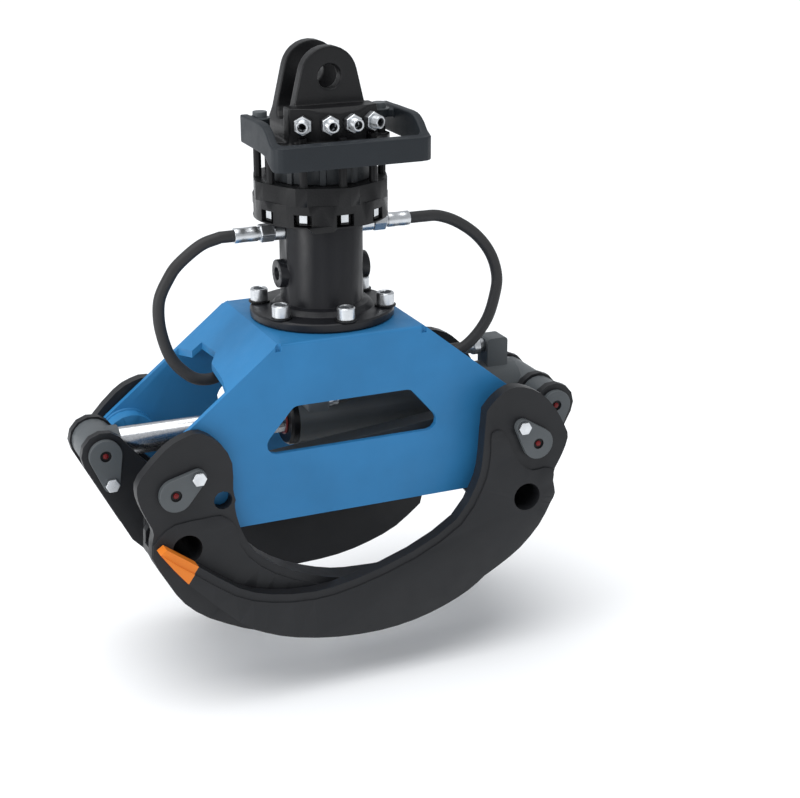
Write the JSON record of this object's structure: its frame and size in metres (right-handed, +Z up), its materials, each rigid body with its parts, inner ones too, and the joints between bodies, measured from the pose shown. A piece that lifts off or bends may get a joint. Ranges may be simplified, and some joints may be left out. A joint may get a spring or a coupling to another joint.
{
  "type": "timber grapple",
  "caption": "Timber grapple: forked link head, rotator, folded frame and curved claws worked by one lying cylinder, with its hoses.",
  "frame": {"origin": "centre of the link pin's bore in the forked head", "axes": "+Z up along the rotator's axis, +X along the frame towards the claw whose plates lie outside, -Y the front seen in the picture"},
  "size_m": [0.694, 0.3276, 0.779],
  "materials": {
    "black_paint": "satin black paint on castings",
    "slate_casting": "matt slate grey paint on a rough casting",
    "charcoal_paint": "matt charcoal paint on cut plate",
    "blue_paint": "satin blue paint",
    "grey_paint": "satin grey paint",
    "zinc_plate": "bright zinc plate",
    "chrome": "polished hard chrome",
    "hose_rubber": "matt black hose cover"
  },
  "bodies": {
    "barrel": {"block_fitting": "zinc_plate", "cylinder_barrel": "grey_paint", "cylinder_gland": "black_paint", "gland_fitting": "zinc_plate", "hose_block": "hose_rubber", "hose_gland": "hose_rubber"},
    "claw_left": {"claw_left_cross_tube": "charcoal_paint", "claw_left_lever_1": "charcoal_paint", "claw_left_lever_2": "charcoal_paint", "claw_left_lever_3": "charcoal_paint", "claw_left_lever_pin": "grey_paint", "claw_left_lever_pin_bolt": "zinc_plate", "claw_left_pivot_front": "grey_paint", "claw_left_pivot_front_bolt": "zinc_plate", "claw_left_pivot_rear": "grey_paint", "claw_left_pivot_rear_bolt": "zinc_plate", "claw_left_plate_front": "charcoal_paint", "claw_left_plate_rear": "charcoal_paint", "claw_left_tie_pin_front": "grey_paint", "claw_left_tie_pin_rear": "grey_paint"},
    "claw_right": {"claw_right_cross_tube": "charcoal_paint", "claw_right_lever_1": "charcoal_paint", "claw_right_lever_2": "charcoal_paint", "claw_right_lever_3": "charcoal_paint", "claw_right_lever_pin": "grey_paint", "claw_right_lever_pin_bolt": "zinc_plate", "claw_right_pivot_front": "grey_paint", "claw_right_pivot_front_bolt": "zinc_plate", "claw_right_pivot_rear": "grey_paint", "claw_right_pivot_rear_bolt": "zinc_plate", "claw_right_plate_front": "charcoal_paint", "claw_right_plate_rear": "charcoal_paint"},
    "rod": {"cylinder_rod": "chrome", "cylinder_rod_eye": "grey_paint"},
    "rotor": {"flange_bolt_1": "zinc_plate", "flange_bolt_2": "zinc_plate", "flange_bolt_3": "zinc_plate", "flange_bolt_4": "zinc_plate", "flange_bolt_5": "zinc_plate", "flange_bolt_6": "zinc_plate", "frame": "blue_paint", "hose_fitting_left": "zinc_plate", "hose_fitting_right": "zinc_plate", "hose_left": "hose_rubber", "hose_right": "hose_rubber", "rotor_shaft": "black_paint"},
    "stator": {"hose_adapter_1": "zinc_plate", "hose_adapter_2": "zinc_plate", "hose_adapter_3": "zinc_plate", "hose_adapter_4": "zinc_plate", "hose_guard": "slate_casting", "link_head": "black_paint", "motor_body": "grey_paint", "stator_ring": "black_paint"},
    "tie_rod": {"tie_rod": "grey_paint"}
  },
  "joints": [
    {"name": "rotator", "type": "hinge", "parent": "stator", "child": "rotor", "pos_m": [0, 0, -0.187], "axis": [0, 0, 1], "continuous": true},
    {"name": "claw_right_pivot", "type": "hinge", "parent": "rotor", "child": "claw_right", "pos_m": [0.254, 0, -0.5], "axis": [0, -1, 0], "range_deg": [0, 115]},
    {"name": "claw_left_pivot", "type": "hinge", "parent": "rotor", "child": "claw_left", "pos_m": [-0.254, 0, -0.5], "axis": [0, 1, 0], "range_deg": [0, 115]},
    {"name": "barrel_pin", "type": "hinge", "parent": "claw_right", "child": "barrel", "pos_m": [0.316, 0.018, -0.475], "axis": [0, 1, 0], "range_deg": [0, 115]},
    {"name": "rod_pin", "type": "hinge", "parent": "claw_left", "child": "rod", "pos_m": [-0.316, 0.018, -0.475], "axis": [0, -1, 0], "range_deg": [0, 115]},
    {"name": "tie_rod_pin", "type": "hinge", "parent": "claw_right", "child": "tie_rod", "pos_m": [0.316, -0.0555, -0.475], "axis": [0, 1, 0], "range_deg": [0, 110]}
  ],
  "couplings": [
    {"joint": "claw_left_pivot", "follows": "claw_right_pivot", "ratio": 1},
    {"joint": "barrel_pin", "follows": "claw_right_pivot", "ratio": 1},
    {"joint": "rod_pin", "follows": "claw_right_pivot", "ratio": 1},
    {"joint": "tie_rod_pin", "follows": "claw_right_pivot", "ratio": 0.95}
  ]
}
